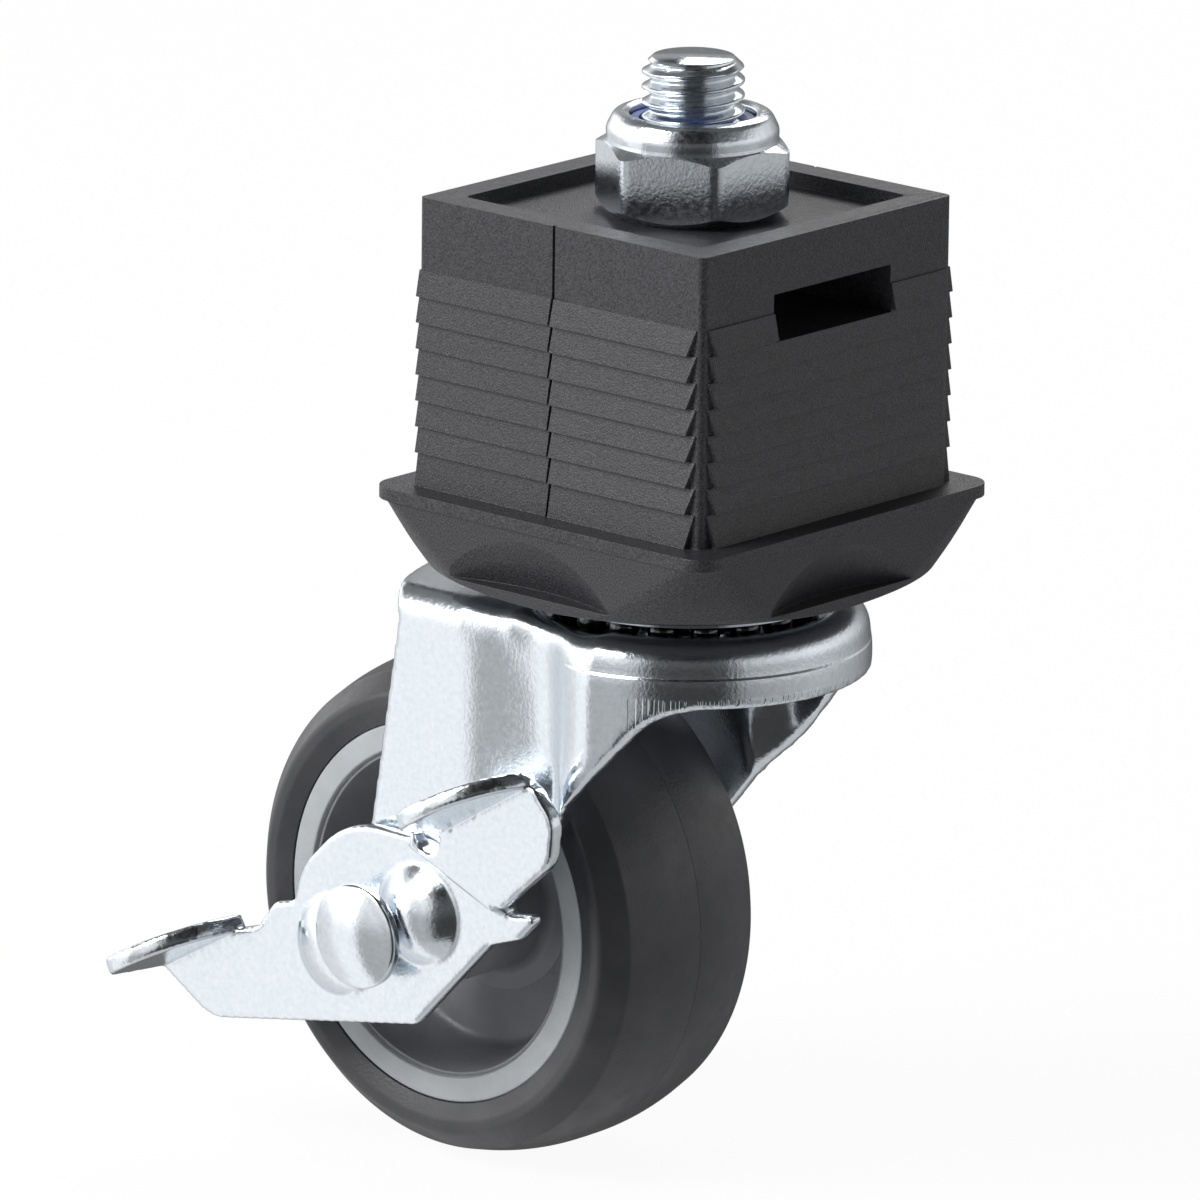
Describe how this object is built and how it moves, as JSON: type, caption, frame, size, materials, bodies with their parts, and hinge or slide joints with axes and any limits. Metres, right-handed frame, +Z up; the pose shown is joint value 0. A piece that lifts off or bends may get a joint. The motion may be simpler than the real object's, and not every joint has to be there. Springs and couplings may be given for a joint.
{
  "type": "levelling castor",
  "caption": "Braked swivel castor with a grey-tyred wheel, hung by a threaded stem and lock nut from a square plug that pushes into a tube end.",
  "frame": {"origin": "centre of the square plug, on the flange's ledge where the end of the tube rests", "axes": "+Z up along the plug, -X the way the wheel trails, -Y the side with the brake lever"},
  "size_m": [0.0743, 0.0517, 0.113],
  "materials": {
    "black_nylon": "moulded, finely grained, semi-matt",
    "zinc_steel": "bright zinc plate over pressed or turned steel",
    "blue_nylon": "smooth",
    "bearing_steel": "polished",
    "grey_rubber": "smooth, semi-matt",
    "light_grey_plastic": "moulded, satin",
    "dark_grey_plastic": "moulded, satin"
  },
  "bodies": {
    "plug": {"tube_plug": "black_nylon", "lock_nut": "zinc_steel", "nylon_ring": "blue_nylon", "stem_bolt": "zinc_steel", "upper_race": "zinc_steel", "lower_race": "zinc_steel", "race_sleeve": "zinc_steel", "upper_balls": "bearing_steel", "lower_balls": "bearing_steel"},
    "fork": {"fork": "zinc_steel", "axle_bolt": "zinc_steel", "axle_nut": "zinc_steel", "axle_washer": "zinc_steel", "lever_washer": "zinc_steel", "axle_sleeve": "zinc_steel"},
    "wheel": {"tyre": "grey_rubber", "wheel_core": "light_grey_plastic", "dish_near": "dark_grey_plastic", "dish_far": "dark_grey_plastic", "hub_bush": "dark_grey_plastic"},
    "brake": {"brake_lever": "zinc_steel"}
  },
  "joints": [
    {"name": "swivel", "type": "hinge", "parent": "plug", "child": "fork", "pos_m": [0.00039, 0.00039, -0.013], "axis": [0, 0, 1], "continuous": true},
    {"name": "wheel_spin", "type": "hinge", "parent": "fork", "child": "wheel", "pos_m": [-0.02246, 0.00039, -0.0456], "axis": [0, 1, 0], "continuous": true},
    {"name": "brake_pivot", "type": "hinge", "parent": "fork", "child": "brake", "pos_m": [-0.02246, 0.00039, -0.0456], "axis": [0, 1, 0], "range_deg": [0, 28]}
  ]
}
